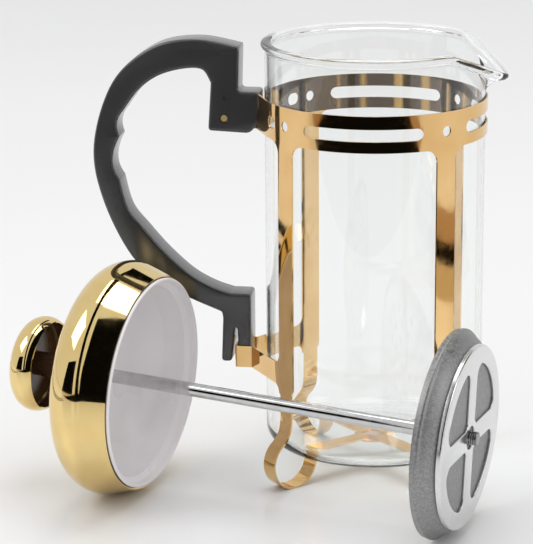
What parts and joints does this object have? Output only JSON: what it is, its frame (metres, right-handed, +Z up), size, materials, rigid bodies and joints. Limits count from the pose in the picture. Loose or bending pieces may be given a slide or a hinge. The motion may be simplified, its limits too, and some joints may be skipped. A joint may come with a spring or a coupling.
{
  "type": "french press",
  "caption": "Cylindrical glass beaker with a spout in a metal frame with a bow handle, and a plunger with a domed lid, a rod and a round mesh filter lying beside it.",
  "frame": {"origin": "on the pot's axis, at the height of the surface it stands on", "axes": "+Z up along the pot's axis, +X towards the spout, -X towards the handle, -Y towards the lying plunger"},
  "size_m": [0.2188, 0.1782, 0.1984],
  "materials": {
    "gold": "mirror polished, gold coloured plate",
    "glass": "clear",
    "black_plastic": "satin",
    "white_plastic": "gloss",
    "brown_plastic": "satin",
    "steel": "polished",
    "satin_steel": "satin",
    "mesh": "fine weave"
  },
  "bodies": {
    "pot_frame": {"frame_band": "gold", "leg_front_left": "gold", "leg_front_right": "gold", "leg_back_right": "gold", "leg_back_left": "gold", "base_disc": "gold", "base_rivet": "gold", "handle": "black_plastic", "clamp_screw": "gold", "clamp_nut": "steel"},
    "beaker": {"beaker": "glass"},
    "lid": {"lid_dome": "gold", "lid_liner": "white_plastic", "rod_guide": "gold", "guide_nut": "steel"},
    "plunger": {"knob_shell": "gold", "knob_core": "brown_plastic", "plunger_rod": "steel"},
    "filter": {"spring_plate": "steel", "filter_spring": "steel", "mesh_screen": "mesh", "filter_hub": "steel", "cross_plate": "satin_steel"}
  },
  "joints": [
    {"name": "plunger_lift", "type": "hinge", "parent": "pot_frame", "child": "lid", "pos_m": [0.112, -0.05266, 0.16233], "axis": [-0.2426, 0.8563, 0.456], "range_deg": [0, 101.7]},
    {"name": "plunger_press", "type": "slide", "parent": "lid", "child": "plunger", "axis": [-0.9715, 0.2322, 0.0473], "range_m": [0, 0.13]},
    {"name": "filter_turn", "type": "hinge", "parent": "plunger", "child": "filter", "pos_m": [0.04228, -0.08335, 0.04527], "axis": [-0.9715, 0.2322, 0.0473], "continuous": true},
    {"name": "beaker_lift", "type": "slide", "parent": "pot_frame", "child": "beaker", "axis": [0, 0, 1], "range_m": [0, 0.17]}
  ],
  "couplings": [
    {"joint": "plunger_press", "follows": "plunger_lift", "m_per_rad": 0.073237}
  ]
}
